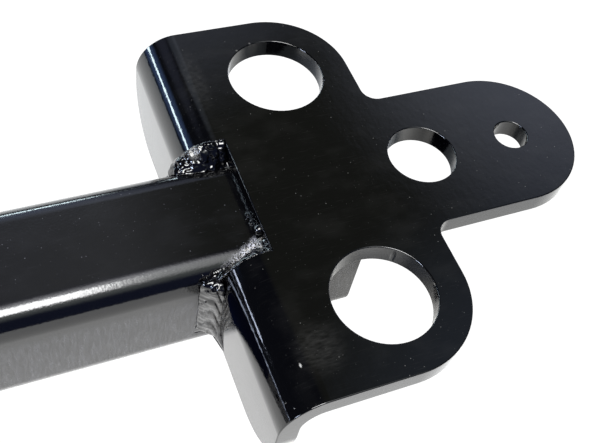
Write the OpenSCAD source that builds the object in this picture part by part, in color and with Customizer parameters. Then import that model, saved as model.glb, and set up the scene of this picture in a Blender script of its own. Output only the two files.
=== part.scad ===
// Two-way receiver hitch: a square shank tube that slides into a receiver, with a notched and
// bent plate welded across its front end. The plate's tongue takes a tow ball and a clevis pin,
// and its two ears take safety chains.
// Frame: origin at the middle of the hitch-pin hole, on the tube's axis. +X runs along the tube
// to the tongue, +Z is up, and +Y is the right side of the vehicle that carries it.

/* [Shank] */
// Outside width and height of the square tube
tube_size = 50.8; // [50.5:0.1:51]
// Wall thickness of the tube
tube_wall = 6.35; // [4:0.05:8]
// Outside corner radius of the tube
tube_corner_r = 10.5; // [9:0.5:11]
// Hitch-pin hole to the open end of the tube
pin_to_open_end = 63.5; // [40:0.5:80]
// Hitch-pin hole to the front edge of the plate's notch
pin_to_notch = 145; // [120:1:180]
// Length of tube that lies under the plate
tube_under_plate = 39.5; // [30:0.5:42]
// Diameter of the hitch-pin hole
hitch_pin_hole_d = 16.5; // [16:0.1:17.5]

/* [Plate] */
// Thickness of the plate
plate_t = 7.94; // [6:0.02:10]
// Width across the two ears
plate_w = 167.4; // [160:0.2:178]
// Notch edge to the front edge of the ears
ear_reach = 61.8; // [58:0.2:68]
// Radius of the ears' corners, centred on the chain holes
ear_r = 30.9; // [29:0.1:33]
// Notch edge to the tip of the tongue
tongue_reach = 137.3; // [130:0.1:150]
// Width of the tongue, which ends in a half circle
tongue_w = 61.9; // [58:0.1:66]
// Radius of the inside corner between tongue and ear
tongue_fillet_r = 6; // [4:0.5:9]
// Width of the notch that straddles the tube
notch_w = 51.2; // [51:0.1:53]

/* [Holes] */
// Diameter of the two chain holes
chain_hole_d = 38; // [36:0.1:40]
// Diameter of the tow-ball hole
ball_hole_d = 26.9; // [26:0.1:28]
// Notch edge to the tow-ball hole
ball_hole_reach = 71.5; // [68:0.1:76]
// Diameter of the clevis-pin hole
clevis_hole_d = 13.6; // [13:0.1:14.5]
// Notch edge to the clevis-pin hole
clevis_hole_reach = 111.8; // [108:0.1:116]

/* [Bend] */
// Inside radius of the bend
bend_inside_r = 8; // [6:0.5:10]
// Notch edge back to the outer face of the turned-down flange
flange_setback = 17.7; // [17:0.1:20]
// Height of the flange, from the plate's top face to its lower edge
flange_drop = 46; // [42:0.5:50]
// Radius of the flange's lower outer corners
flange_corner_r = 24; // [20:0.5:27]
// How far the stretched outer face is drawn in at each end of the bend
bend_pull = 2; // [1:0.1:3]

/* [Welds] */
// Leg of the left side bead along the tube
left_side_leg = 7.6; // [6:0.1:9]
// Leg of the right side bead along the tube
right_side_leg = 5.4; // [5:0.1:9]
// How far the left side bead runs up beside the bend
left_overlap = 2.4; // [0.5:0.1:3]
// Leg of the side beads across the flange
side_cross_leg = 5.6; // [5:0.1:8]
// How much wider the side beads spread at their foot
foot_flare = 9; // [4:0.5:10]
// Length of one ripple of a side bead
ripple_pitch = 7; // [5.5:0.1:8]
// Height of the ripples
ripple_h = 0.5; // [0.2:0.1:1]
// How far each ripple sags where it meets the flange
ripple_sag = 6.5; // [3:0.5:8]
// Leg of the top bead along the tube
top_leg = 1.8; // [1.4:0.1:3]
// Leg of the top bead up the notch's wall
top_rise = 2.2; // [1.4:0.1:3]
// Spacing of the lumps of weld metal in the notch corners
drop_pitch = 4.6; // [3.5:0.1:6]
// Height of those lumps
drop_h = 0.7; // [0.3:0.1:1]
// How far the notch-corner beads bulge
drop_crown = 2; // [1.6:0.1:2.4]

/* [Hidden] */

$fn = 96;
paint = [0.05, 0.05, 0.055];
clear = 1;

tube_half = tube_size / 2;
tube_end = pin_to_notch + tube_under_plate;
tube_length = pin_to_open_end + tube_end;
tube_round_centre = tube_half - tube_corner_r;

plate_under = tube_half;
plate_top = plate_under + plate_t;
plate_half = plate_w / 2;
notch_half = notch_w / 2;
ear_front = pin_to_notch + ear_reach;
chain_hole_x = ear_front - ear_r;
chain_hole_y = plate_half - ear_r;
tongue_half = tongue_w / 2;
tongue_end_x = pin_to_notch + tongue_reach - tongue_half;

bend_outside_r = bend_inside_r + plate_t;
flange_face = pin_to_notch - flange_setback;
bend_x = flange_face + bend_outside_r;
bend_z = plate_top - bend_outside_r;
flange_bottom = plate_top - flange_drop;

// The relief at a bend's end dies out at the bend's two tangent lines and at its inner face
bend_half_chord = bend_outside_r * sin(45);
relief_slope = atan(bend_pull / plate_t);
relief_rise = bend_pull - bend_pull / plate_t * (bend_outside_r - bend_half_chord);
relief_r = (pow(bend_half_chord, 2) + pow(relief_rise, 2)) / (2 * relief_rise);

// Side beads start a little above the flange's lower edge
bead_bottom = flange_bottom + 1;
// A bead's root is drawn this far inside the tube, and the tube is then cut away from it
bead_root = 3;
// Room left between a faceted bead and the curved faces that it lies on
seam_gap = 0.04;

// Square with true round corners, centred
module rounded_square(size, r) {
    square([size, size - 2 * r], center = true);
    square([size - 2 * r, size], center = true);
    for (x = [-1, 1], y = [-1, 1])
        translate([x, y] * (size / 2 - r))
            circle(r = r);
}

// Stands a flat outline up, so that it is drawn in Y and Z and runs along X
module along_x(start, length) {
    translate([start, 0, 0])
        rotate([90, 0, 90])
            linear_extrude(length)
                children();
}

// Copies a shape to the left and the right of the tube
module both_sides() {
    children();
    mirror([0, 1, 0]) children();
}

module tube_envelope() {
    along_x(-pin_to_open_end, tube_length)
        rounded_square(tube_size, tube_corner_r);
}

module shank_tube() {
    color(paint)
        difference() {
            tube_envelope();
            along_x(-pin_to_open_end - clear, tube_length + 2 * clear)
                rounded_square(tube_size - 2 * tube_wall, tube_corner_r - tube_wall);
            rotate([90, 0, 0])
                cylinder(d = hitch_pin_hole_d, h = tube_size + 2 * clear, center = true);
        }
}

// Flat part of the plate, seen from above, before the holes
module plate_outline() {
    translate([bend_x, -plate_half])
        square([chain_hole_x - bend_x, plate_w]);
    translate([bend_x, -chain_hole_y])
        square([ear_front - bend_x, 2 * chain_hole_y]);
    translate([ear_front - clear, -tongue_half])
        square([tongue_end_x - ear_front + clear, tongue_w]);
    translate([tongue_end_x, 0])
        circle(r = tongue_half);
    both_sides() {
        translate([chain_hole_x, chain_hole_y])
            circle(r = ear_r);
        translate([ear_front, tongue_half])
            corner_web(tongue_fillet_r);
    }
}

// Web between a corner at the origin and the arc that rounds it
module corner_web(r) {
    difference() {
        translate([-clear, -clear])
            square(r + clear);
        translate([r, r])
            circle(r = r);
    }
}

// One leg of the flange, seen from the front end of the tube: Y to the right, Z up
module flange_leg_outline() {
    difference() {
        translate([notch_half, flange_bottom])
            square([plate_half - notch_half, bend_z - flange_bottom]);
        translate([plate_half, flange_bottom])
            mirror([1, 0, 0])
                corner_web(flange_corner_r);
    }
}

// Quarter turn that joins one leg of the flange to the flat part
module bend_leg() {
    translate([bend_x, 0, bend_z])
        rotate([90, 0, 0])
            rotate([0, 0, 90])
                rotate_extrude(angle = 90)
                    translate([bend_inside_r, -plate_half])
                        square([plate_t, plate_half - notch_half]);
}

// Cutter for the bend's outer end, where the stretched face draws in
module bend_end_relief() {
    translate([bend_x, plate_half, bend_z])
        rotate([0, -45, 0])
            translate([0, relief_r / cos(relief_slope) - bend_pull, bend_outside_r])
                rotate([relief_slope, 0, 0])
                    cylinder(r = relief_r, h = 4 * plate_t, center = true, $fn = 360);
}

module plate_hole(x, y, d) {
    translate([x, y, plate_under - clear])
        cylinder(d = d, h = plate_t + 2 * clear);
}

module hitch_plate() {
    color(paint)
        difference() {
            union() {
                translate([0, 0, plate_under])
                    linear_extrude(plate_t)
                        difference() {
                            plate_outline();
                            translate([bend_x - clear, -notch_half])
                                square([pin_to_notch - bend_x + clear, notch_w]);
                        }
                both_sides() {
                    difference() {
                        bend_leg();
                        bend_end_relief();
                    }
                    along_x(flange_face, plate_t)
                        flange_leg_outline();
                }
            }
            both_sides()
                plate_hole(chain_hole_x, chain_hole_y, chain_hole_d);
            plate_hole(pin_to_notch + ball_hole_reach, 0, ball_hole_d);
            plate_hole(pin_to_notch + clevis_hole_reach, 0, clevis_hole_d);
        }
}

// Closed solid through a row of like rings of points, with ends fanned from each ring's first point
module ring_solid(points, rings, ring_size) {
    walls = [for (i = [0 : rings - 1], k = [0 : ring_size - 1])
        let (a = i * ring_size + k, b = i * ring_size + (k + 1) % ring_size)
        each [[a, a + ring_size, b], [b, a + ring_size, b + ring_size]]];
    last = rings * ring_size;
    caps = [for (k = [1 : ring_size - 2]) each [[0, k, k + 1], [last, last + k + 1, last + k]]];
    polyhedron(points, concat(walls, caps), convexity = 6);
}

// Rippled bead in a corner. It runs up Z from the origin, with one leg along -X and one along -Y,
// whose toe spreads at the foot by flare. Each ring is the root and an arc of face points; the
// ripples sag towards the second leg, as the weld pool does, and the two ends are domed.
module fillet_bead(length, leg_x, leg_y, crown, root, ripple, pitch, flare) {
    rings = ceil(length / pitch * 9);
    face_points = 10;
    foot_dome = 1.6;
    head_dome = 4.5;
    flare_length = 11;
    function dome_at(s) =
        let (from_end = min(1, s / foot_dome, (length - s) / head_dome))
        0.4 + 0.6 * sqrt(1 - pow(1 - from_end, 2));
    function sag(turn) = ripple_sag * pow(sin(turn), 6) - 2.2 * sin(2 * turn);
    function wave(s, turn) = abs(sin(180 * (s + sag(turn)) / pitch));
    function spread(s, turn) = flare * pow(max(0, 1 - s / flare_length), 2) * pow(sin(turn), 14);
    function reach(turn, s) =
        let (across = sin(2 * turn), chord = 1 / (cos(turn) / leg_x + sin(turn) / leg_y))
        (chord * (1 + crown * across) + ripple * across * wave(s, turn) + spread(s, turn)) * dome_at(s);
    function ring(i) =
        let (s = length * i / rings)
        concat(
            [[root, root, s]],
            [for (k = [0 : face_points])
                let (turn = 90 * k / face_points, r = reach(turn, s))
                [-r * cos(turn) + (k == face_points ? root : 0),
                 -r * sin(turn) + (k == 0 ? root : 0), s]]
        );
    ring_size = face_points + 2;
    points = [for (i = [0 : rings]) each ring(i)];
    ring_solid(points, rings, ring_size);
}

// Upright bead between the flange's outer face and the left side of the tube
module side_weld(leg, top) {
    difference() {
        intersection() {
            translate([flange_face, -tube_half, bead_bottom])
                fillet_bead(top - bead_bottom, leg, side_cross_leg, 0.16, bead_root, ripple_h, ripple_pitch,
                            foot_flare);
            translate([flange_face - 20, -tube_half - 20, bead_bottom - clear])
                cube([20, 40, top - bead_bottom + 2 * clear]);
        }
        tube_envelope();
    }
}

module left_side_weld() {
    color(paint) side_weld(left_side_leg, bend_z + left_overlap);
}

module right_side_weld() {
    color(paint) mirror([0, 1, 0]) side_weld(right_side_leg, bend_z);
}

// Lumpy bead that starts in the notch's front corner, fills the groove between the notch's wall
// and the tube's round corner, and wraps over the bend to the top of the side bead. Every ring
// lies in a plane through the bend's axis: y runs outwards from the tube, and r is the distance
// from that axis. A ring goes from the groove up the wall, over the face, and back on the tube.
// A lean bead stays flush in the groove and only climbs on the tube where it meets the side bead.
module wrap_bead(lean) {
    straight = pin_to_notch - bend_x;
    arc_length = bend_outside_r * PI / 2;
    end_swing = lean ? 1 - asin(left_overlap / bend_outside_r) / 90 : 1;
    length = straight + arc_length * end_swing;
    rings = 40;
    face_points = 9;
    seat_points = 4;
    skin_r = bend_outside_r + seam_gap;
    toe_rise = tube_half - 0.8 - bend_z;
    full_toe_r = skin_r + 3.4;
    lean_toe_r = skin_r + 7;
    outer_toe = side_cross_leg - 1.2;
    function blend(a, b, w) = a + (b - a) * w;
    function ramp(from, to, w) =
        let (t = max(0, min(1, (w - from) / (to - from))))
        t * t * (3 - 2 * t);
    function swing(s) = max(0, s - straight) / arc_length;
    function tube_skin(s, r) =
        let (rise = max(0, bend_z + r * cos(90 * swing(s)) - tube_round_centre))
        tube_round_centre + seam_gap + sqrt(pow(tube_corner_r, 2) - pow(rise, 2));
    function groove_r(s) = blend(4, bend_outside_r - 2, swing(s));
    function toe_r(s) =
        let (w = swing(s))
        lean ? blend(toe_rise + 3 * w, lean_toe_r, ramp(0.62, 0.95, w))
             : pow(pow(cos(90 * w) / toe_rise, 6) + pow(1 / full_toe_r, 6), -1 / 6);
    function seat(s, j) =
        let (r = blend(toe_r(s), groove_r(s), j / seat_points))
        [tube_skin(s, r), r];
    function plate_toe(s) =
        let (w = swing(s))
        [notch_half + (lean ? blend(0.7, outer_toe, pow(w, 10)) : blend(0.5, outer_toe, w)), skin_r];
    function crest(s) =
        let (w = swing(s))
        lean ? blend([notch_half - 0.4, skin_r + 1.2], [notch_half + 3, skin_r + 5], pow(w, 2))
             : blend([notch_half - 0.2, skin_r + drop_crown], [notch_half + 2.6, skin_r + 3], w);
    function lump(s, f) =
        let (height = lean ? 0.6 * drop_h : drop_h)
        height * abs(sin(180 * (s + 1.6 * sin(180 * f)) / drop_pitch));
    function face(s, k) =
        let (f = k / face_points, a = plate_toe(s), b = seat(s, 0), out = [b[1] - a[1], a[0] - b[0]])
        a * pow(1 - f, 2) + crest(s) * 2 * f * (1 - f) + b * pow(f, 2)
        + out / norm(out) * sin(180 * f) * lump(s, f);
    function section(s) =
        concat(
            [[notch_half, groove_r(s)], [notch_half, skin_r]],
            [for (k = [0 : face_points]) face(s, k)],
            [for (j = [1 : seat_points]) seat(s, j)]
        );
    function placed(p, s) =
        let (turn = 90 * swing(s), x = s < straight ? pin_to_notch - s : bend_x)
        [x - p[1] * sin(turn), -p[0], bend_z + p[1] * cos(turn)];
    points = [for (i = [0 : rings], p = section(length * i / rings)) placed(p, length * i / rings)];
    ring_solid(points, rings, face_points + 3 + seat_points);
}

module left_notch_weld() {
    color(paint) wrap_bead(true);
}

module right_notch_weld() {
    color(paint) mirror([0, 1, 0]) wrap_bead(false);
}

// Low rough bead across the tube's top face, at the foot of the notch's front wall
module top_weld() {
    bead_length = 2 * (tube_round_centre + 1);
    color(paint)
        translate([pin_to_notch, -bead_length / 2, plate_under])
            rotate([-90, 0, 0])
                fillet_bead(bead_length, top_leg, top_rise, 0.1, 0, 0.5, drop_pitch, 0);
}

shank_tube();
hitch_plate();
left_side_weld();
right_side_weld();
left_notch_weld();
right_notch_weld();
top_weld();
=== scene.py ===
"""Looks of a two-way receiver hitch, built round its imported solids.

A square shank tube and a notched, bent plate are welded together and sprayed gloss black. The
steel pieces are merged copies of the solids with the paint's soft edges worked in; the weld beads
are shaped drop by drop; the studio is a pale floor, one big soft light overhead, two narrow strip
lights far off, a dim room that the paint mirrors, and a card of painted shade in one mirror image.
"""

import sys
import logging
import math
import random
from dataclasses import dataclass, field
from enum import Enum

import bmesh
import bpy
from mathutils import Euler, Matrix, Vector, noise


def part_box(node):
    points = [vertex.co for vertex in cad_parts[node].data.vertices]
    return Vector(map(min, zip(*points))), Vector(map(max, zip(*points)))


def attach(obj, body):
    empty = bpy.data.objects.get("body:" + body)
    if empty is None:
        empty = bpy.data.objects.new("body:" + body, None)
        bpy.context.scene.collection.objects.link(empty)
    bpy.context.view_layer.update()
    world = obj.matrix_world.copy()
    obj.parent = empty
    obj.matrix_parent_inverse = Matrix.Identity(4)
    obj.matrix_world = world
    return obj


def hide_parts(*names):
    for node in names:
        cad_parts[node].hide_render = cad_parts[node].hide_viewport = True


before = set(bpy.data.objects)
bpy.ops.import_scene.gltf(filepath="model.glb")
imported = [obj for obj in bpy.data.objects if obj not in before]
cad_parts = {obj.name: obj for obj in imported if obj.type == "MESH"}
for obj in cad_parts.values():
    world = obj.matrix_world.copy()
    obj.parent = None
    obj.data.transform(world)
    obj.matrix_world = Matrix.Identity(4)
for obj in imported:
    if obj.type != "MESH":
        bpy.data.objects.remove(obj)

LOG = logging.getLogger("receiver_hitch")
MM = 0.001
Colour = tuple[float, float, float]


class Slot(Enum):
    """Names for the three paints' material slots."""

    TUBE = "tube_paint"
    PLATE = "plate_paint"
    WELD = "weld_paint"


class Side(Enum):
    """The two sides of the tube; the left one is nearer to the camera."""

    LEFT = -1
    RIGHT = 1

    @property
    def word(self) -> str:
        """The side's name as it starts a node's name."""
        return self.name.lower()


# Shader graphs.


class Signal:
    """A number that varies over a surface, with the arithmetic that masks need."""

    def __init__(self, graph: "Graph", socket: bpy.types.NodeSocket) -> None:
        """Keeps the output socket and the graph that it belongs to."""
        self.graph = graph
        self.socket = socket

    def _maths(self, operation: str, *terms: "Signal | float") -> "Signal":
        """Adds one Math node.

        Args:
            operation: the Math node's operation.
            terms: its inputs, in order.

        Returns:
            The node's result.
        """
        node = self.graph.node("ShaderNodeMath", {"operation": operation}, dict(enumerate(terms)))
        return Signal(self.graph, node.outputs[0])

    def __add__(self, other: "Signal | float") -> "Signal":
        """Sum."""
        return self._maths("ADD", self, other)

    def __radd__(self, other: float) -> "Signal":
        """Sum with a plain number first."""
        return self._maths("ADD", other, self)

    def __sub__(self, other: "Signal | float") -> "Signal":
        """Difference."""
        return self._maths("SUBTRACT", self, other)

    def __rsub__(self, other: float) -> "Signal":
        """Difference from a plain number."""
        return self._maths("SUBTRACT", other, self)

    def __mul__(self, other: "Signal | float") -> "Signal":
        """Product."""
        return self._maths("MULTIPLY", self, other)

    def __rmul__(self, other: float) -> "Signal":
        """Product with a plain number first."""
        return self._maths("MULTIPLY", other, self)

    def above(self, low: float, high: float) -> "Signal":
        """Soft step from 0 at low to 1 at high.

        Args:
            low: the value that gives 0.
            high: the value that gives 1; it may be the smaller of the two.

        Returns:
            The step.
        """
        start, stop = (low, high) if low < high else (high, low)
        node = self.graph.node(
            "ShaderNodeMapRange",
            {"interpolation_type": "SMOOTHSTEP"},
            {"Value": self, "From Min": start, "From Max": stop},
        )
        step = Signal(self.graph, node.outputs[0])
        return step if low < high else 1 - step


class Graph:
    """A node tree that is filled through one method."""

    def __init__(self, tree: bpy.types.NodeTree) -> None:
        """Empties the tree."""
        self.tree = tree
        tree.nodes.clear()

    def node(
        self,
        kind: str,
        settings: dict[str, object] | None = None,
        inputs: dict[str | int, object] | None = None,
    ) -> bpy.types.Node:
        """Adds a node.

        Args:
            kind: the node's type.
            settings: its properties, set before its sockets.
            inputs: values, sockets or signals for its sockets, by name or index.

        Returns:
            The node.
        """
        node = self.tree.nodes.new(kind)
        for key, value in (settings or {}).items():
            setattr(node, key, value)
        for key, value in (inputs or {}).items():
            if isinstance(value, Signal):
                value = value.socket
            if isinstance(value, bpy.types.NodeSocket):
                self.tree.links.new(value, node.inputs[key])
            else:
                node.inputs[key].default_value = value
        return node

    def mix(
        self, factor: Signal, first: object, second: object, blend: str = "MIX"
    ) -> bpy.types.NodeSocket:
        """Mixes two colours.

        Args:
            factor: 0 for the first colour and 1 for the second one's full share.
            first: a colour or a colour socket.
            second: a colour or a colour socket.
            blend: how the second one is laid over the first.

        Returns:
            The mixed colour.
        """
        ends = [(*end, 1.0) if isinstance(end, tuple) else end for end in (first, second)]
        settings = {"data_type": "RGBA", "blend_type": blend}
        return self.node("ShaderNodeMix", settings, {0: factor, 6: ends[0], 7: ends[1]}).outputs[2]

    def choose(
        self, factor: Signal | bpy.types.NodeSocket, first: bpy.types.Node, second: bpy.types.Node
    ) -> bpy.types.Node:
        """Mixes two shaders.

        Args:
            factor: 0 for the first shader and 1 for the second.
            first: a shader.
            second: a shader.

        Returns:
            The mixed shader.
        """
        inputs = {0: factor, 1: first.outputs[0], 2: second.outputs[0]}
        return self.node("ShaderNodeMixShader", None, inputs)

    def place(self, scale: Colour, turn: float = 0.0) -> bpy.types.NodeSocket:
        """Object coordinates, stretched and turned for a texture.

        Args:
            scale: factors along X, Y and Z.
            turn: angle about Z, in radians.

        Returns:
            The coordinates.
        """
        where = self.node("ShaderNodeTexCoord").outputs["Object"]
        node = self.node(
            "ShaderNodeMapping",
            {"vector_type": "POINT"},
            {"Vector": where, "Rotation": (0.0, 0.0, turn), "Scale": scale},
        )
        return node.outputs[0]

    def along(self, axis: int) -> Signal:
        """Object coordinate along one axis, in metres.

        Args:
            axis: 0, 1 or 2.

        Returns:
            The coordinate.
        """
        where = self.node("ShaderNodeTexCoord").outputs["Object"]
        return Signal(self, self.node("ShaderNodeSeparateXYZ", None, {0: where}).outputs[axis])

    def noise(
        self, size: Colour, detail: float = 2.0, turn: float = 0.0, sharp: float = 0.5
    ) -> Signal:
        """Noise whose lumps have the given size.

        Args:
            size: size of a lump along X, Y and Z, in metres.
            detail: octaves.
            turn: angle about Z, in radians.
            sharp: how much the finer octaves show.

        Returns:
            A signal about 0.5.
        """
        scale = tuple(1.0 / length for length in size)
        node = self.node(
            "ShaderNodeTexNoise",
            None,
            {"Vector": self.place(scale, turn), "Scale": 1.0, "Detail": detail, "Roughness": sharp},
        )
        return Signal(self, node.outputs[0])

    def specks(self, spacing: float, radius: float, share: float) -> Signal:
        """Small round specks, one in some of the cells of a grid of scattered points.

        Args:
            spacing: mean distance between cells, in metres.
            radius: radius of the largest speck, in metres.
            share: share of the cells that hold one.

        Returns:
            1 inside a speck and 0 outside.
        """
        where = self.place((1.0 / spacing,) * 3)
        inputs = {"Vector": where, "Scale": 1.0, "Randomness": 1.0}
        node = self.node("ShaderNodeTexVoronoi", {"feature": "F1"}, inputs)
        away = Signal(self, node.outputs["Distance"])
        parts = self.node("ShaderNodeSeparateColor", None, {0: node.outputs["Color"]})
        chosen = Signal(self, parts.outputs[0]).above(1.0 - share, 1.0 - 0.5 * share)
        return (away + (1 - chosen) * 2.0).above(radius / spacing, 0.4 * radius / spacing)

    def spot(self, centre: Colour, reach: Colour) -> Signal:
        """Soft ellipsoid of influence.

        Args:
            centre: its middle, in metres.
            reach: its half sizes, in metres.

        Returns:
            1 in the middle, falling to 0 at the reach.
        """
        where = self.node("ShaderNodeTexCoord").outputs["Object"]
        offset = self.node("ShaderNodeVectorMath", {"operation": "SUBTRACT"}, {0: where, 1: centre})
        scaled = self.node(
            "ShaderNodeVectorMath", {"operation": "DIVIDE"}, {0: offset.outputs[0], 1: reach}
        )
        away = self.node("ShaderNodeVectorMath", {"operation": "LENGTH"}, {0: scaled.outputs[0]})
        return Signal(self, away.outputs["Value"]).above(1.0, 0.25)

    def facing_up(self) -> Signal:
        """Finds the faces that look up, where dust settles and the painted sheen lies.

        Returns:
            1 on those faces and 0 on the others.
        """
        normal = self.node("ShaderNodeNewGeometry").outputs["Normal"]
        parts = self.node("ShaderNodeSeparateXYZ", None, {0: normal})
        return Signal(self, parts.outputs[2]).above(0.75, 0.95)

    def bump(
        self, height: Signal, depth: float, under: bpy.types.NodeSocket | None = None
    ) -> bpy.types.NodeSocket:
        """Relief of the surface.

        Args:
            height: the relief, from 0 to 1.
            depth: what 1 stands for, in metres.
            under: a coarser relief to add this one to.

        Returns:
            The bent normal.
        """
        inputs: dict[str | int, object] = {"Height": height, "Distance": depth, "Strength": 1.0}
        if under is not None:
            inputs["Normal"] = under
        return self.node("ShaderNodeBump", None, inputs).outputs[0]


def blank_material(name: str) -> tuple[bpy.types.Material, Graph]:
    """Makes a material with an empty node tree.

    Args:
        name: the material's name.

    Returns:
        The material and its graph.
    """
    made = bpy.data.materials.new(name)
    made.use_nodes = True
    return made, Graph(made.node_tree)


# Finishes.


@dataclass(frozen=True)
class PalePatch:
    """A pale patch on the paint, left by dust and rubbing; at the notch's corner it is painted
    sparkle.

    Attributes:
        centre: its middle, in metres.
        reach: its half sizes, in metres.
        strength: how pale it is at most.
        pattern: size of its streaks along X, Y and Z, in metres.
        fade: noise level at which a streak starts and at which it is full.
    """

    centre: Colour
    reach: Colour
    strength: float
    pattern: Colour = (2.2 * MM, 0.5 * MM, 2.2 * MM)
    fade: tuple[float, float] = (0.34, 0.6)


@dataclass(frozen=True)
class Dent:
    """A nick or pinhole in a surface.

    Attributes:
        centre: its middle, in metres.
        reach: its half sizes, in metres.
        depth: its depth, in metres.
    """

    centre: Colour
    reach: Colour
    depth: float


@dataclass(frozen=True)
class Specks:
    """Dust specks.

    Attributes:
        spacing: mean distance between the cells that may hold one, in metres.
        radius: radius of the largest one, in metres.
        paleness: how pale they are.
    """

    spacing: float
    radius: float
    paleness: float


@dataclass(frozen=True)
class BlackPaint:
    """Gloss black enamel on steel.

    Attributes:
        name: the material's name.
        colour: the paint itself.
        dust: the pale colour of what lies on it, also laid as painted sheen, sparkle and
            reflection.
        roughness: of clean paint.
        gloss: strength of its reflections, 0.5 for clean paint.
        wear: how far the roughness wanders.
        dust_roughness: how much rougher full dust makes it.
        peel_size: size of the orange peel's waves, in metres.
        peel_depth: their depth, in metres.
        grain_size: size of the steel's own texture under the paint, along X, Y and Z, in metres.
        grain_depth: its depth, in metres.
        coarse_specks: the larger dust specks.
        fine_specks: the smaller dust specks.
        speck_share: share of the cells that hold a larger speck; a smaller one is twice as common.
        scratches: how pale the fine scratches are.
        film: how pale the settled dust is where it is thickest.
        haze_and_sheen: how pale the even film on top is, beyond and before the bend; dust and
            painted sheen.
        haze_and_sheen_span: X from which the film thins out and X at which it is full, in metres.
        mottle: how pale the patches low down are at most; steel texture and painted reflection of
            the floor.
        mottle_span: Z below which the patches start and Z at which they are full, in metres.
        patch_size: size of those patches along X, Y and Z, in metres.
        pimples: how much deeper the orange peel is where the steel was bent.
        bend: X at which the bend starts and at which its paint is roughest, in metres.
        pale_patches: rubbed and dust-covered patches, and the painted sparkle at the notch's
            corner.
        dents: nicks and pinholes.
    """

    name: str
    colour: Colour = (0.0004, 0.0004, 0.0006)
    dust: Colour = (0.30, 0.29, 0.27)
    roughness: float = 0.07
    gloss: float = 0.5
    wear: float = 0.08
    dust_roughness: float = 0.5
    peel_size: float = 1.3 * MM
    peel_depth: float = 0.006 * MM
    grain_size: Colour = (4.0 * MM,) * 3
    grain_depth: float = 0.01 * MM
    coarse_specks: Specks = Specks(1.5 * MM, 0.23 * MM, 0.24)
    fine_specks: Specks = Specks(0.9 * MM, 0.16 * MM, 0.08)
    speck_share: float = 0.2
    scratches: float = 0.012
    film: float = 0.006
    haze_and_sheen: tuple[float, float] = (0.0, 0.0)
    haze_and_sheen_span: tuple[float, float] = (134.0 * MM, 92.0 * MM)
    mottle: float = 0.02
    mottle_span: tuple[float, float] = (14.0 * MM, 8.0 * MM)
    patch_size: Colour = (0.8 * MM, 4.0 * MM, 6.0 * MM)
    pimples: float = 0.0
    bend: tuple[float, float] = (143.0 * MM, 138.0 * MM)
    pale_patches: tuple[PalePatch, ...] = ()
    dents: tuple[Dent, ...] = ()

    def _dust_and_painted_light(self, graph: Graph) -> Signal:
        """How much dust, rubbing and painted light shows: sheen, sparkle and reflection.

        Args:
            graph: the material's graph.

        Returns:
            0 on clean paint, rising with the dust and the painted light.
        """
        up = graph.facing_up()
        coarse, fine = self.coarse_specks, self.fine_specks
        specks = graph.specks(coarse.spacing, coarse.radius, self.speck_share) * coarse.paleness
        small = graph.specks(fine.spacing, fine.radius, 2 * self.speck_share) * fine.paleness
        scratches = graph.noise((7.0 * MM, 0.3 * MM, 7.0 * MM), turn=0.16).above(0.60, 0.80)
        film = graph.noise((14.0 * MM, 9.0 * MM, 14.0 * MM), detail=4.0).above(0.45, 0.75)
        # The even film on top is partly dust and partly painted sheen: it makes the tube's top
        # paler away from the plate.
        far, near = self.haze_and_sheen
        haze_and_sheen = graph.along(0).above(*self.haze_and_sheen_span) * (near - far) + far
        # Pale patches low down on the sides are the steel's texture and a painted reflection of the
        # floor's unevenness.
        patches = graph.noise(self.patch_size, detail=4.0, sharp=0.7).above(0.30, 0.85)
        low = graph.along(2).above(*self.mottle_span)
        settled = specks + small + scratches * self.scratches + film * self.film + haze_and_sheen
        dust_and_painted_light = settled * up + patches * low * self.mottle
        # Pale patches: dust and rubbing, and the painted sparkle at the notch's corner.
        for pale_patch in self.pale_patches:
            streaks = graph.noise(pale_patch.pattern, detail=3.0, turn=0.9).above(*pale_patch.fade)
            dust_and_painted_light = dust_and_painted_light + graph.spot(pale_patch.centre, pale_patch.reach) * streaks * pale_patch.strength
        return dust_and_painted_light

    def _relief(self, graph: Graph) -> bpy.types.NodeSocket:
        """The steel's grain, the orange peel over it, and the dents.

        Args:
            graph: the material's graph.

        Returns:
            The bent normal.
        """
        steel = graph.bump(graph.noise(self.grain_size, detail=3.0), self.grain_depth)
        pimpled = graph.along(0).above(*self.bend) * self.pimples + 1.0
        peel = graph.noise((self.peel_size,) * 3, detail=1.0) * pimpled
        relief = graph.bump(peel, self.peel_depth, steel)
        for dent in self.dents:
            relief = graph.bump(1 - graph.spot(dent.centre, dent.reach), dent.depth, relief)
        return relief

    def material(self) -> bpy.types.Material:
        """Builds the paint.

        Returns:
            The material.
        """
        made, graph = blank_material(self.name)
        # The pale colour goes where there is dust and where light is painted: sheen, sparkle and
        # reflection.
        dust_and_painted_light = self._dust_and_painted_light(graph)
        wear = graph.noise((6.0 * MM,) * 3, detail=3.0) - 0.5
        shader = graph.node(
            "ShaderNodeBsdfPrincipled",
            None,
            {
                "Base Color": graph.mix(dust_and_painted_light, self.colour, self.dust),
                "Roughness": self.roughness + wear * self.wear + dust_and_painted_light * self.dust_roughness,
                "IOR": 1.5,
                "Specular IOR Level": self.gloss,
                "Normal": self._relief(graph),
            },
        )
        graph.node("ShaderNodeOutputMaterial", None, {"Surface": shader.outputs[0]})
        return made


# Patterns of pale patches: fine grains, and none that shows. Then their fades: hard and soft.
GRANULAR = (0.65 * MM, 0.5 * MM, 0.65 * MM)
PLAIN = (9.0 * MM,) * 3
GRITTY = (0.41, 0.57)
HAZY = (0.15, 0.95)
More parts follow.
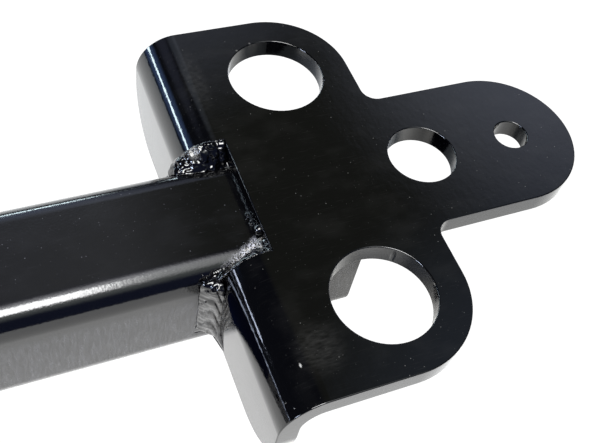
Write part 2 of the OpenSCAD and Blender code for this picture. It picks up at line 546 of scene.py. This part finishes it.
# Painted sparkle: pale grains on the tube's near rounding where the light's highlight lies,
# strongest at the notch's wall.
CORNER_SPARKLE = (
    PalePatch((0.1444, -0.0184, 0.0257), (0.0052, 0.0058, 0.0052), 1.5, GRANULAR, GRITTY),
    PalePatch((0.1400, -0.0196, 0.0250), (0.0046, 0.0042, 0.0044), 1.1, GRANULAR, GRITTY),
    PalePatch((0.1358, -0.0206, 0.0242), (0.0046, 0.0032, 0.0036), 0.52, GRANULAR, GRITTY),
    PalePatch((0.1318, -0.0212, 0.0236), (0.0044, 0.0022, 0.0028), 0.16, GRANULAR, GRITTY),
)
FAR_SCALE = (
    PalePatch((0.1335, 0.0262, 0.0290), (0.0032, 0.0040, 0.0034), 0.65, GRANULAR),
    PalePatch((0.1372, 0.0256, 0.0240), (0.0050, 0.0040, 0.0028), 0.60, GRANULAR),
    PalePatch((0.1268, 0.0292, 0.0182), (0.0016, 0.0016, 0.0016), 0.90, PLAIN),
)
TUBE_PAINT = BlackPaint(
    "tube_black",
    dust=(0.29, 0.29, 0.32),
    roughness=0.12,
    peel_size=0.8 * MM,
    peel_depth=0.020 * MM,
    grain_size=(1.6 * MM, 6.0 * MM, 5.0 * MM),
    grain_depth=0.016 * MM,
    # Painted sheen with some dust: the tube's top is paler away from the plate.
    haze_and_sheen=(0.002, 0.024),
    mottle=0.17,
    speck_share=0.12,
    pale_patches=CORNER_SPARKLE,
    dents=(Dent((0.1209, -0.0254, -0.0125), (0.0016, 0.0010, 0.0010), 0.8 * MM),),
)
PLATE_PAINT = BlackPaint(
    "plate_black",
    roughness=0.06,
    peel_size=1.6 * MM,
    peel_depth=0.004 * MM,
    pimples=2.5,
    mottle=0.16,
    patch_size=(0.8 * MM, 3.0 * MM, 0.6 * MM),
    grain_size=(3.0 * MM, 4.0 * MM, 0.8 * MM),
    grain_depth=0.02 * MM,
    speck_share=0.12,
    pale_patches=(
        PalePatch(
            (0.1465, -0.0655, 0.0333),
            (0.011, 0.012, 0.004),
            0.042,
            (3.0 * MM, 1.0 * MM, 3.0 * MM),
            HAZY,
        ),
        PalePatch(
            (0.1435, 0.0580, 0.0333),
            (0.006, 0.022, 0.004),
            0.034,
            (2.4 * MM, 1.6 * MM, 2.4 * MM),
            HAZY,
        ),
        PalePatch((0.1386, -0.0689, 0.0327), (0.0005, 0.0011, 0.0010), 1.0, PLAIN),
        PalePatch((0.1650, 0.0693, 0.0333), (0.0007, 0.0006, 0.0008), 0.4, PLAIN),
        PalePatch((0.1715, 0.0720, 0.0333), (0.0006, 0.0007, 0.0008), 0.4, PLAIN),
    ),
    dents=(
        Dent((0.1936, 0.0459, 0.0328), (0.0012, 0.0012, 0.0012), 0.5 * MM),
        Dent((0.1948, -0.0544, 0.0323), (0.0012, 0.0012, 0.0012), 0.5 * MM),
        Dent((0.1872, -0.0375, 0.0290), (0.0010, 0.0020, 0.0040), 0.3 * MM),
    ),
)
WELD_PAINT = BlackPaint(
    "weld_black",
    roughness=0.09,
    peel_size=0.6 * MM,
    peel_depth=0.010 * MM,
    speck_share=0.04,
    mottle=0.32,
    pale_patches=CORNER_SPARKLE + FAR_SCALE,
)
DULL_WELD_PAINT = BlackPaint("weld_dull_black", roughness=0.30, gloss=0.15, peel_size=0.6 * MM)


# Mesh work.


def solid_copy(node: str) -> bmesh.types.BMesh:
    """Merged copy of a solid's mesh.

    Args:
        node: the solid's name.

    Returns:
        The copy.
    """
    shape = bmesh.new()
    shape.from_mesh(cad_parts[node].data)
    bmesh.ops.remove_doubles(shape, verts=shape.verts, dist=1e-6)
    bmesh.ops.recalc_face_normals(shape, faces=shape.faces)
    return shape


def soften_edges(shape: bmesh.types.BMesh, radius: float, least: float = 32.0) -> None:
    """Rounds the steel's sharp edges as the paint does.

    Args:
        shape: the mesh, changed in place.
        radius: width of the rounding, in metres.
        least: angle from which an edge counts as sharp, in degrees.
    """
    bmesh.ops.dissolve_limit(
        shape, angle_limit=math.radians(0.6), verts=shape.verts, edges=shape.edges
    )
    turn = math.radians(least)
    sharp = [e for e in shape.edges if e.is_manifold and e.calc_face_angle(0.0) > turn]
    bmesh.ops.bevel(
        shape,
        geom=sharp,
        offset=radius,
        offset_type="OFFSET",
        affect="EDGES",
        segments=3,
        profile=0.5,
        material=-1,
        clamp_overlap=True,
    )


def voxel_skin(shape: bmesh.types.BMesh, voxel: float) -> bmesh.types.BMesh:
    """One even skin over all that a mesh holds.

    Args:
        shape: closed parts that may overlap; it is freed.
        voxel: size of the skin's faces, in metres.

    Returns:
        The skin.
    """
    mesh = bpy.data.meshes.new("skin")
    shape.to_mesh(mesh)
    shape.free()
    holder = bpy.data.objects.new("skin", mesh)
    bpy.context.scene.collection.objects.link(holder)
    modifier = holder.modifiers.new("skin", "REMESH")
    modifier.mode = "VOXEL"
    modifier.voxel_size = voxel
    modifier.adaptivity = 0.0
    skin = bmesh.new()
    skin.from_object(holder, bpy.context.evaluated_depsgraph_get())
    bpy.data.objects.remove(holder)
    bpy.data.meshes.remove(mesh)
    return skin


def relax(shape: bmesh.types.BMesh, factor: float) -> None:
    """Draws a mesh's corners towards their neighbours.

    Args:
        shape: the mesh, changed in place.
        factor: how far, from 0 to 1.
    """
    bmesh.ops.smooth_vert(
        shape, verts=shape.verts, factor=factor, use_axis_x=True, use_axis_y=True, use_axis_z=True
    )


def roughen(shape: bmesh.types.BMesh, size: float, height: float, seed: float) -> None:
    """Pushes a mesh in and out with seeded noise.

    Args:
        shape: the mesh, changed in place.
        size: size of a lump, in metres.
        height: how far the highest lumps rise, in metres.
        seed: shifts the pattern.
    """
    shape.normal_update()
    shift = Vector((seed, 1.7 * seed, -2.3 * seed))
    for vert in shape.verts:
        vert.co += vert.normal * height * noise.noise(vert.co / size + shift)


@dataclass(frozen=True)
class Drop:
    """A drop of weld metal.

    Attributes:
        centre: its middle, in millimetres.
        radii: its half sizes, in millimetres.
        lean: how far it is turned about X, in degrees.
        finish: how often its faces are divided.
    """

    centre: Colour
    radii: Colour
    lean: float = 0.0
    finish: int = 3

    def add(self, shape: bmesh.types.BMesh) -> None:
        """Adds the drop to a mesh.

        Args:
            shape: the mesh that the drop joins.
        """
        place = Matrix.Translation(Vector(self.centre) * MM)
        turn = Matrix.Rotation(math.radians(self.lean), 4, "X")
        size = Matrix.Diagonal((*(Vector(self.radii) * MM), 1.0))
        bmesh.ops.create_icosphere(
            shape, subdivisions=self.finish, radius=1.0, matrix=place @ turn @ size
        )


def grain(centre: Colour, radius: float) -> Drop:
    """One round grain of spatter, sized in millimetres."""
    return Drop(centre, (radius,) * 3, finish=2)


def spatter(count: int, seed: int) -> list[Drop]:
    """Grains of spatter on the tube's near rounding, thickest at the notch's corner.

    Args:
        count: how many grains.
        seed: picks their places.

    Returns:
        The grains.
    """
    pick = random.Random(seed)
    axis, rounding, sunk = 14.9, 10.5, 0.35
    first, run, stray = 131.5, 14.5, 0.5
    smallest, largest = 0.16, 0.42
    grains = []
    for _ in range(count):
        near = pick.random() ** 0.7
        turn = math.radians(48.0 - 40.0 * near + pick.gauss(0.0, 6.0 + 5.0 * near))
        radius = pick.uniform(smallest, largest)
        reach = rounding - sunk * radius
        across, up = axis + reach * math.sin(turn), axis + reach * math.cos(turn)
        grains.append(grain((first + run * near + pick.gauss(0.0, stray), -across, up), radius))
    return grains


def publish(
    shape: bmesh.types.BMesh,
    name: str,
    paint: bpy.types.Material,
    stands_for: str,
    weighted: bool = False,
) -> bpy.types.Object:
    """Makes a finished mesh a piece of the hitch.

    Args:
        shape: the mesh, with its place in its vertices; it is freed.
        name: the piece's name.
        paint: its material.
        stands_for: the solid that it replaces.
        weighted: whether large faces keep their own direction beside narrow ones.

    Returns:
        The piece.
    """
    mesh = bpy.data.meshes.new(name)
    for face in shape.faces:
        face.smooth = True
    shape.to_mesh(mesh)
    shape.free()
    mesh.materials.append(paint)
    piece = bpy.data.objects.new(name, mesh)
    bpy.context.scene.collection.objects.link(piece)
    if weighted:
        modifier = piece.modifiers.new("even_shading", "WEIGHTED_NORMAL")
        modifier.keep_sharp = False
        modifier.weight = 80
    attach(piece, "root")
    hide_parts(stands_for)
    LOG.info("%s: %d faces", name, len(mesh.polygons))
    return piece


# Steel.


@dataclass
class ShankTube:
    """The square tube that slides into the receiver.

    Attributes:
        edge_radius: rounding of its cut edges, in metres.
    """

    edge_radius: float = 0.5 * MM

    def build(self, paint: bpy.types.Material) -> bpy.types.Object:
        """Copies the tube's solid and softens its edges.

        Args:
            paint: the tube's paint.

        Returns:
            The piece.
        """
        shape = solid_copy("shank_tube")
        soften_edges(shape, self.edge_radius)
        return publish(shape, "tube_skin", paint, "shank_tube", weighted=True)


@dataclass
class HitchPlate:
    """The notched plate with its two turned-down flanges.

    Attributes:
        edge_radius: rounding of its cut edges, in metres.
    """

    edge_radius: float = 0.45 * MM

    def build(self, paint: bpy.types.Material) -> bpy.types.Object:
        """Copies the plate's solid and softens its edges.

        Args:
            paint: the plate's paint.

        Returns:
            The piece.
        """
        shape = solid_copy("hitch_plate")
        soften_edges(shape, self.edge_radius)
        return publish(shape, "plate_skin", paint, "hitch_plate", weighted=True)


# Welds.


@dataclass
class RippledBead:
    """Upright bead in the corner between the tube's side and the flange's outer face.

    Attributes:
        side: which side of the tube it is on.
        leg_tube: its leg along the tube, in metres.
        head: height of its upper end, in metres.
        foot: height of its lower end, in metres.
        corner: the corner's X and the distance of the tube's side from the axis, in metres.
        leg_flange: its leg across the flange, in metres.
        flare: how far its thin toe spreads over the flange at the foot, in metres.
        flare_height: height above the foot at which the spread ends, in metres.
        crown: how far its face bulges, as a share of the chord.
        pitch: distance between ripples, in metres.
        ripple: height of the ripples, in metres.
        offset: where the first ripple lies, as a share of the pitch.
        sag: how far a ripple drops at the flange and rises in the middle, in metres.
        wander: how far a ripple strays, in metres.
        fine: height of the fine lines between the ripples, in metres.
        ragged: height of the toe's unevenness, in metres.
        knobs: height of the knobs at the head, in metres.
        knob_zone: distance below the head over which they fade, in metres.
        taper: distance over which both ends round off, in metres.
        root: radius of its hidden back, in metres.
    """

    side: Side
    leg_tube: float
    head: float
    foot: float = -11.66 * MM
    corner: tuple[float, float] = (127.3 * MM, 25.4 * MM)
    leg_flange: float = 5.0 * MM
    flare: float = 9.0 * MM
    flare_height: float = 11.0 * MM
    crown: float = 0.16
    pitch: float = 7.8 * MM
    ripple: float = 0.52 * MM
    offset: float = 0.37
    sag: tuple[float, float] = (3.4 * MM, 6.5 * MM)
    wander: float = 0.35 * MM
    fine: float = 0.02 * MM
    ragged: float = 0.3 * MM
    knobs: float = 0.95 * MM
    knob_zone: float = 6.0 * MM
    taper: float = 3.2 * MM
    root: float = 0.8 * MM

    @property
    def length(self) -> float:
        """Distance from the foot to the head."""
        return self.head - self.foot

    def _phase(self, rise: float, turn: float) -> float:
        """Where a point lies between two ripples.

        Args:
            rise: distance from the bead's foot, in metres.
            turn: 0 at the tube and 1 at the flange.

        Returns:
            A number that grows by 1 from ripple to ripple.
        """
        angle = turn * math.pi / 2
        sag = self.sag[0] * math.sin(angle) ** 8 - self.sag[1] * math.sin(2 * angle)
        strays = noise.noise(Vector((2.0 * turn, rise / (5.0 * MM), 3.1 * self.side.value)))
        return (rise + sag + self.wander * strays) / self.pitch + self.offset

    def _relief(self, rise: float, turn: float, across: float) -> float:
        """Height of the ripples and of all that roughens them.

        Args:
            rise: distance from the bead's foot, in metres.
            turn: 0 at the tube and 1 at the flange.
            across: 0 at both toes and 1 between them.

        Returns:
            The height, in metres.
        """
        phase = self._phase(rise, turn)
        scallop = self.ripple * math.sin(math.pi * (phase % 1.0) ** 1.6) ** 0.9
        fine = self.fine * math.sin(2 * math.pi * 3.0 * phase + 1.5 * math.sin(2 * math.pi * phase))
        rags = noise.noise(Vector((3.0 * turn, rise / (1.7 * MM), 7.7 * self.side.value)))
        lumps = noise.noise(Vector((5.0 * turn, rise / (1.2 * MM), 1.3)))
        relief = (scallop + fine) * (0.2 + 0.8 * across) + self.ragged * rags * (1 - 0.7 * across)
        smooth = min(1.0, (self.length - rise) / self.knob_zone)
        return relief + self.knobs * lumps * (1 - smooth)

    def _reach(self, rise: float, turn: float) -> float:
        """Distance of the bead's face from its root.

        Args:
            rise: distance from the bead's foot, in metres.
            turn: 0 at the tube and 1 at the flange.

        Returns:
            The distance, in metres.
        """
        angle = turn * math.pi / 2
        across = math.sin(2 * angle)
        chord = 1 / (math.cos(angle) / self.leg_tube + math.sin(angle) / self.leg_flange)
        from_end = min(1.0, rise / self.taper, (self.length - rise) / self.taper)
        dome = 0.35 + 0.65 * math.sqrt(max(0.0, 1 - (1 - from_end) ** 2))
        return (chord * (1 + self.crown * across) + self._relief(rise, turn, across)) * dome

    def _spread(self, rise: float, turn: float) -> float:
        """How far the bead's thin foot runs out over the flange.

        Args:
            rise: distance from the bead's foot, in metres.
            turn: 0 at the tube and 1 at the flange.

        Returns:
            The distance, in metres.
        """
        fading = max(0.0, 1 - rise / self.flare_height) ** 2
        return self.flare * fading * math.sin(turn * math.pi / 2) ** 14

    def _section(self, rise: float, around: float, face_share: float = 0.7) -> tuple[float, float]:
        """A point of the bead's outline at one height.

        Args:
            rise: distance from the bead's foot, in metres.
            around: 0 at the tube, growing to 1 once round.
            face_share: share of the outline that is the bead's face.

        Returns:
            Its distances from the corner, back along the tube and out over the flange, in metres.
        """
        if around >= face_share:
            angle = 0.5 * math.pi * (1 + 2 * (around - face_share) / (1 - face_share))
            return self.root * math.cos(angle), self.root * (math.sin(angle) - 1)
        turn = around / face_share
        reach, spread = self._reach(rise, turn), self._spread(rise, turn)
        angle = turn * math.pi / 2
        thinned = 1 - 0.8 * spread / self.flare
        return reach * math.cos(angle) * thinned, (reach + spread) * math.sin(angle)

    def build(self, paint: bpy.types.Material) -> bpy.types.Object:
        """Draws a sphere out along the corner into the bead.

        Args:
            paint: the welds' paint.

        Returns:
            The piece.
        """
        shape = bmesh.new()
        bmesh.ops.create_uvsphere(shape, u_segments=96, v_segments=260, radius=1.0)
        corner_x, corner_y = self.corner
        for vert in shape.verts:
            rise = self.length * (1 - math.acos(max(-1.0, min(1.0, vert.co.z))) / math.pi)
            around = math.atan2(vert.co.y, vert.co.x) / (2 * math.pi) % 1.0
            back, out = self._section(rise, around)
            across = self.side.value * (corner_y + out)
            vert.co = Vector((corner_x - back, across, self.foot + rise))
        bmesh.ops.recalc_face_normals(shape, faces=shape.faces)
        if shape.calc_volume(signed=True) < 0:
            bmesh.ops.reverse_faces(shape, faces=shape.faces)
        name = f"{self.side.word}_side_bead"
        return publish(shape, name, paint, f"{self.side.word}_side_weld")


@dataclass
class DroppedBead:
    """A lumpy bead: the solid's own form with drops laid on it, under one skin, no higher than it.

    Attributes:
        node: the solid that it stands for.
        name: the piece's name.
        drops: the drops laid on it, under the same skin.
        voxel: size of the skin's faces, in metres.
        lumps: size and height of the lumps, in metres.
        pits: size and height of the fine relief, in metres.
        grains: the spatter beside it.
        flatten: X of the wall that it lies on, in metres, and the share of its reach that shows.
        seed: shifts the noise.
    """

    node: str
    name: str
    drops: list[Drop] = field(default_factory=list)
    voxel: float = 0.28 * MM
    lumps: tuple[float, float] = (2.6 * MM, 0.6 * MM)
    pits: tuple[float, float] = (1.1 * MM, 0.12 * MM)
    grains: list[Drop] = field(default_factory=list)
    flatten: tuple[float, float] = (0.0, 1.0)
    seed: float = 1.0

    def build(self, paint: bpy.types.Material) -> bpy.types.Object:
        """Joins the solid's copy and the drops, skins them, and roughens the skin.

        Args:
            paint: the welds' paint.

        Returns:
            The piece.
        """
        shape = solid_copy(self.node)
        wall, share = self.flatten
        about = Matrix.Translation((-wall, 0.0, 0.0))
        bmesh.ops.scale(shape, vec=(share, 1.0, 1.0), space=about, verts=shape.verts)
        for drop in self.drops:
            drop.add(shape)
        skin = voxel_skin(shape, self.voxel)
        relax(skin, 0.5)
        roughen(skin, *self.lumps, self.seed)
        roughen(skin, *self.pits, self.seed + 4.0)
        relax(skin, 0.4)
        for drop in self.grains:
            drop.add(skin)
        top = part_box(self.node)[1][2]
        for vert in skin.verts:
            vert.co.z = min(vert.co.z, top)
        return publish(skin, self.name, paint, self.node)


LEFT_NOTCH_BEAD = DroppedBead(
    "left_notch_weld",
    "left_notch_bead",
    drops=[
        Drop((145.0, -23.4, 32.0), (1.5, 1.7, 1.2)),
        Drop((144.9, -20.6, 30.2), (1.4, 2.2, 1.9)),
        Drop((144.4, -18.6, 27.6), (1.8, 2.4, 2.0)),
        Drop((141.5, -22.4, 27.6), (3.0, 2.2, 2.2)),
        Drop((127.4, -24.4, 20.4), (4.4, 2.0, 3.2), lean=-30.0),
        Drop((124.3, -23.4, 21.7), (0.9, 0.55, 0.55)),
        Drop((125.1, -23.0, 22.4), (0.9, 0.55, 0.55)),
        Drop((126.1, -22.7, 22.9), (0.9, 0.5, 0.5)),
        Drop((127.2, -22.5, 23.2), (0.9, 0.5, 0.5)),
        Drop((128.4, -22.4, 23.4), (0.9, 0.45, 0.45)),
        Drop((129.6, -22.3, 23.5), (0.9, 0.4, 0.4)),
    ],
    lumps=(2.0 * MM, 0.2 * MM),
    pits=(0.9 * MM, 0.18 * MM),
    grains=spatter(240, 7)
    + [
        grain((144.4, -14.9, 31.0), 2.1),
        grain((144.2, -9.2, 26.8), 0.4),
        grain((143.6, -8.4, 26.1), 0.3),
        grain((144.3, -7.4, 26.6), 0.35),
        grain((143.2, -6.2, 25.9), 0.3),
        grain((144.1, -5.2, 26.5), 0.35),
        grain((121.8, -22.6, 22.6), 0.4),
        grain((122.9, -23.4, 21.8), 0.35),
        grain((126.3, -27.6, 18.2), 0.7),
        grain((124.8, -27.5, 18.4), 0.6),
        grain((123.9, -27.4, 17.8), 0.45),
        grain((122.4, -26.9, 17.9), 0.4),
        grain((132.5, -80.7, 29.3), 0.35),
        grain((130.9, -77.6, 27.6), 0.35),
    ],
    seed=2.0,
)
RIGHT_NOTCH_BEAD = DroppedBead(
    "right_notch_weld",
    "right_notch_bead",
    drops=[
        Drop((131.0, 27.2, 18.4), (3.0, 2.4, 2.8)),
        Drop((134.8, 26.8, 21.2), (2.2, 1.8, 2.4)),
        Drop((139.6, 26.4, 24.6), (2.6, 1.8, 2.4)),
    ],
    lumps=(2.6 * MM, 0.5 * MM),
    pits=(1.2 * MM, 0.28 * MM),
    grains=[grain((126.8, 29.2, 18.2), 1.0)],
    seed=9.0,
)
TOP_BEAD = DroppedBead(
    "top_weld",
    "top_bead",
    drops=[
        Drop((144.4, -4.5, 25.7), (1.2, 1.6, 1.1)),
        Drop((144.3, -8.6, 25.6), (1.1, 1.3, 0.9)),
        Drop((144.8, -15.2, 27.2), (1.2, 2.0, 1.8)),
    ],
    flatten=(145.0 * MM, 0.5),
    voxel=0.22 * MM,
    lumps=(2.2 * MM, 0.15 * MM),
    pits=(0.9 * MM, 0.05 * MM),
    seed=5.0,
)


# Studio.


@dataclass(frozen=True)
class Glow:
    """A soft patch of light in the dim room.

    Attributes:
        azimuth: its bearing in degrees, from +Y towards +X.
        elevation: its height above the horizon, in degrees.
        core: half width of its even middle, in degrees.
        reach: half width at which it has faded, in degrees.
        colour: its radiance.
    """

    azimuth: float
    elevation: float
    core: float
    reach: float
    colour: Colour

    def direction(self) -> Vector:
        """Finds where the patch is.

        Returns:
            The unit vector towards it.
        """
        bearing, height = math.radians(self.azimuth), math.radians(self.elevation)
        flat = math.cos(height)
        return Vector((math.sin(bearing) * flat, math.cos(bearing) * flat, math.sin(height)))


@dataclass(frozen=True)
class Softbox:
    """A rectangular light that faces the hitch.

    Attributes:
        name: the light's name.
        centre: its middle, in metres.
        size: its width and height, in metres.
        radiance: its brightness.
        colour: its tint.
        target: what it faces, in metres.
    """

    name: str
    centre: Colour
    size: tuple[float, float]
    radiance: float
    colour: Colour = (1.0, 1.0, 1.0)
    target: Colour = (0.1, 0.0, 0.0)

    def build(self) -> bpy.types.Object:
        """Hangs the light.

        Returns:
            The light.
        """
        data = bpy.data.lights.new(self.name, "AREA")
        data.shape = "RECTANGLE"
        data.size, data.size_y = self.size
        data.color = self.colour
        data.energy = self.radiance * math.pi * self.size[0] * self.size[1]
        light = bpy.data.objects.new(self.name, data)
        bpy.context.scene.collection.objects.link(light)
        light.location = self.centre
        light.rotation_mode = "QUATERNION"
        light.rotation_quaternion = (Vector(self.target) - light.location).to_track_quat("-Z", "Y")
        light.visible_camera = False
        return light


def stage_sheet(name: str, place: Matrix, made: bpy.types.Material) -> bpy.types.Object:
    """Puts a flat sheet on the stage.

    Args:
        name: the sheet's name.
        place: what turns a 2 m square on the ground into the sheet.
        made: its material.

    Returns:
        The sheet.
    """
    shape = bmesh.new()
    bmesh.ops.create_grid(shape, x_segments=1, y_segments=1, size=1.0, matrix=place)
    mesh = bpy.data.meshes.new(name)
    shape.to_mesh(mesh)
    shape.free()
    mesh.materials.append(made)
    sheet = bpy.data.objects.new(name, mesh)
    bpy.context.scene.collection.objects.link(sheet)
    return sheet


@dataclass
class Studio:
    """Floor, lights, room and camera.

    Attributes:
        floor_z: height of the floor, in metres.
        floor_side: length of the floor's sides, in metres.
        floor_colour: the floor's paper.
        floor_glow: brightness that the floor and the backdrop show to the camera.
        floor_fill: brightness that it adds to its own shadows in the paint.
        shade_card_x: ends of the dark card of painted shade along the tube, in metres.
        shade_card_y: where the card hangs, just off the tube's near side, in metres.
        shade_card_z: lower and upper edge of the card, in metres.
        shade_card_fade: Z at which the card starts to clear and at which it is clear, in metres.
        shade_card_glow: the card's own dim light, a painted reflection.
        sensor: width of the camera's sensor, in millimetres.
        lens: its focal length, in millimetres.
        nearest: distance from which it sees, in metres.
        eye: the camera's place, in metres.
        tilt: the camera's Euler angles, in degrees.
        room: radiance of the dim room.
        glows: the soft patches of light in it.
        lights: the lights.
    """

    floor_z: float = -25.4 * MM
    floor_side: float = 9.0
    floor_colour: Colour = (0.74, 0.725, 0.69)
    floor_glow: float = 1.1
    floor_fill: float = 0.06
    # The dark card is painted shade in the flange's mirror image; its colour is a painted dim
    # reflection.
    shade_card_x: tuple[float, float] = (30.0 * MM, 119.4 * MM)
    shade_card_y: float = -25.8 * MM
    shade_card_z: tuple[float, float] = (-25.0 * MM, 18.0 * MM)
    shade_card_fade: tuple[float, float] = (-11.0 * MM, -20.0 * MM)
    shade_card_glow: Colour = (0.006, 0.010, 0.040)
    sensor: float = 36.0
    lens: float = 53.896
    nearest: float = 5.0 * MM
    eye: Colour = (0.0574876, -0.1731563, 0.2836961)
    tilt: Colour = (35.763, -8.1351, -21.3445)
    room: Colour = (0.04, 0.045, 0.06)
    glows: tuple[Glow, ...] = (
        Glow(165.0, 76.0, 6.0, 24.0, (3.2, 3.2, 3.3)),
        Glow(165.0, 64.0, 10.0, 31.0, (0.84, 0.92, 0.82)),
        Glow(90.0, 84.0, 2.0, 15.0, (0.9, 0.9, 1.0)),
        Glow(4.0, 44.0, 4.0, 11.0, (0.33, 0.38, 0.48)),
        Glow(16.0, 36.0, 3.0, 14.0, (0.37, 0.41, 0.54)),
        Glow(48.0, 32.0, 5.0, 19.0, (0.9, 0.98, 1.22)),
        Glow(70.0, 56.0, 4.0, 18.0, (0.2, 0.25, 0.36)),
        Glow(28.0, 56.0, 6.0, 22.0, (0.09, 0.09, 0.045)),
        Glow(-20.0, 34.0, 6.0, 16.0, (0.2, 0.22, 0.33)),
        Glow(-46.0, 14.0, 3.0, 15.0, (0.35, 0.6, 1.3)),
        Glow(-103.0, 22.0, 4.0, 10.0, (36.0, 41.0, 53.0)),
        Glow(-8.0, 24.0, 4.0, 20.0, (0.5, 0.62, 0.95)),
        Glow(180.0, 10.0, 20.0, 60.0, (0.05, 0.07, 0.19)),
    )
    lights: tuple[Softbox, ...] = (
        Softbox(
            "overhead_softbox",
            (-0.25, -0.535, 1.53),
            (1.0, 0.67),
            25.0,
            target=(-0.25, -0.535, 0.0),
        ),
        Softbox("far_strip", (-1.15, 2.72, 0.80), (3.6, 0.22), 20.0, (0.82, 1.0, 1.05)),
        Softbox("left_strip", (-2.52, 1.36, 0.425), (0.42, 0.17), 13.0, (0.85, 0.95, 1.2)),
    )

    def build(self) -> None:
        """Sets the whole studio up."""
        self._floor()
        # The dark card paints shade into the flange's mirror image.
        self._hang_shade_card()
        self._room()
        for light in self.lights:
            light.build()
        self._camera()

    def _floor(self) -> None:
        """Lays the pale floor."""
        made, graph = blank_material("pale_floor")
        paper = graph.node(
            "ShaderNodeBsdfPrincipled",
            None,
            {
                "Base Color": (*self.floor_colour, 1.0),
                "Roughness": 0.9,
                "Emission Color": (1.0, 1.0, 0.98, 1.0),
                "Emission Strength": self.floor_fill,
            },
        )
        pale = graph.node("ShaderNodeEmission", None, {"Strength": self.floor_glow})
        seen = graph.node("ShaderNodeLightPath").outputs["Is Camera Ray"]
        shown = graph.choose(seen, paper, pale)
        graph.node("ShaderNodeOutputMaterial", None, {"Surface": shown.outputs[0]})
        half = self.floor_side / 2
        size = Matrix.Diagonal((half, half, 1.0, 1.0))
        stage_sheet("floor", Matrix.Translation((0.0, 0.0, self.floor_z)) @ size, made)

    def _hang_shade_card(self) -> None:
        """Hangs a dark card before the tube's near side, seen only in the flange's mirror image.

        The card is painted shade: it darkens the flange's mirror image of the tube's side by the
        corner, and its own dim bluish light is a painted reflection. From its back it is clear.
        """
        made, graph = blank_material("painted_shade_black")
        behind = Signal(graph, graph.node("ShaderNodeNewGeometry").outputs["Backfacing"])
        fading = graph.along(2).above(*self.shade_card_fade)
        unseen = 1 - (1 - behind) * (1 - fading)
        inputs = {"Color": (*self.shade_card_glow, 1.0), "Strength": 1.0}
        dark = graph.node("ShaderNodeEmission", None, inputs)
        clear = graph.node("ShaderNodeBsdfTransparent")
        shown = graph.choose(unseen, dark, clear)
        graph.node("ShaderNodeOutputMaterial", None, {"Surface": shown.outputs[0]})
        (left, right), (low, high) = self.shade_card_x, self.shade_card_z
        middle = Matrix.Translation(((left + right) / 2, self.shade_card_y, (low + high) / 2))
        size = Matrix.Diagonal(((right - left) / 2, 1.0, (high - low) / 2, 1.0))
        upright = Matrix.Rotation(math.radians(90.0), 4, "X")
        shade_card = stage_sheet("painted_shade_card", middle @ size @ upright, made)
        shade_card.visible_camera = shade_card.visible_diffuse = shade_card.visible_shadow = False

    def _room(self) -> None:
        """Paints the dim room that the paint mirrors, with a pale backdrop behind the hitch."""
        world = bpy.data.worlds.new("room")
        bpy.context.scene.world = world
        world.use_nodes = True
        graph = Graph(world.node_tree)
        where = graph.node("ShaderNodeTexCoord").outputs["Generated"]
        light: object = self.room
        for glow in self.glows:
            pair = {0: where, 1: glow.direction()}
            along = graph.node("ShaderNodeVectorMath", {"operation": "DOT_PRODUCT"}, pair)
            inside = Signal(graph, along.outputs["Value"]).above(
                math.cos(math.radians(glow.reach)), math.cos(math.radians(glow.core))
            )
            light = graph.mix(inside, light, glow.colour, "ADD")
        dim = graph.node("ShaderNodeBackground", None, {"Color": light, "Strength": 1.0})
        white = {"Color": (1.0, 1.0, 1.0, 1.0), "Strength": self.floor_glow}
        pale = graph.node("ShaderNodeBackground", None, white)
        seen = graph.node("ShaderNodeLightPath").outputs["Is Camera Ray"]
        shown = graph.choose(seen, dim, pale)
        graph.node("ShaderNodeOutputWorld", None, {"Surface": shown.outputs[0]})

    def _camera(self) -> None:
        """Stands the camera where the photograph was taken from."""
        data = bpy.data.cameras.new("camera")
        data.sensor_width = self.sensor
        data.lens = self.lens
        data.clip_start = self.nearest
        camera = bpy.data.objects.new("camera", data)
        bpy.context.scene.collection.objects.link(camera)
        camera.location = self.eye
        camera.rotation_euler = Euler([math.radians(angle) for angle in self.tilt])
        bpy.context.scene.camera = camera
        bpy.context.scene.view_settings.view_transform = "Standard"


def main() -> None:
    """Builds the hitch and its studio."""
    logging.basicConfig(level=logging.INFO, format="%(name)s %(message)s", stream=sys.stdout)
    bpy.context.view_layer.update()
    Studio().build()
    tube_paint, plate_paint, weld_paint = (
        paint.material() for paint in (TUBE_PAINT, PLATE_PAINT, WELD_PAINT)
    )
    ShankTube().build(tube_paint)
    HitchPlate().build(plate_paint)
    RippledBead(Side.LEFT, leg_tube=7.4 * MM, head=23.2 * MM).build(weld_paint)
    RippledBead(Side.RIGHT, leg_tube=5.4 * MM, head=17.4 * MM).build(weld_paint)
    for bead in (LEFT_NOTCH_BEAD, RIGHT_NOTCH_BEAD):
        bead.build(weld_paint)
    TOP_BEAD.build(DULL_WELD_PAINT.material())


if __name__ == "__main__":
    main()
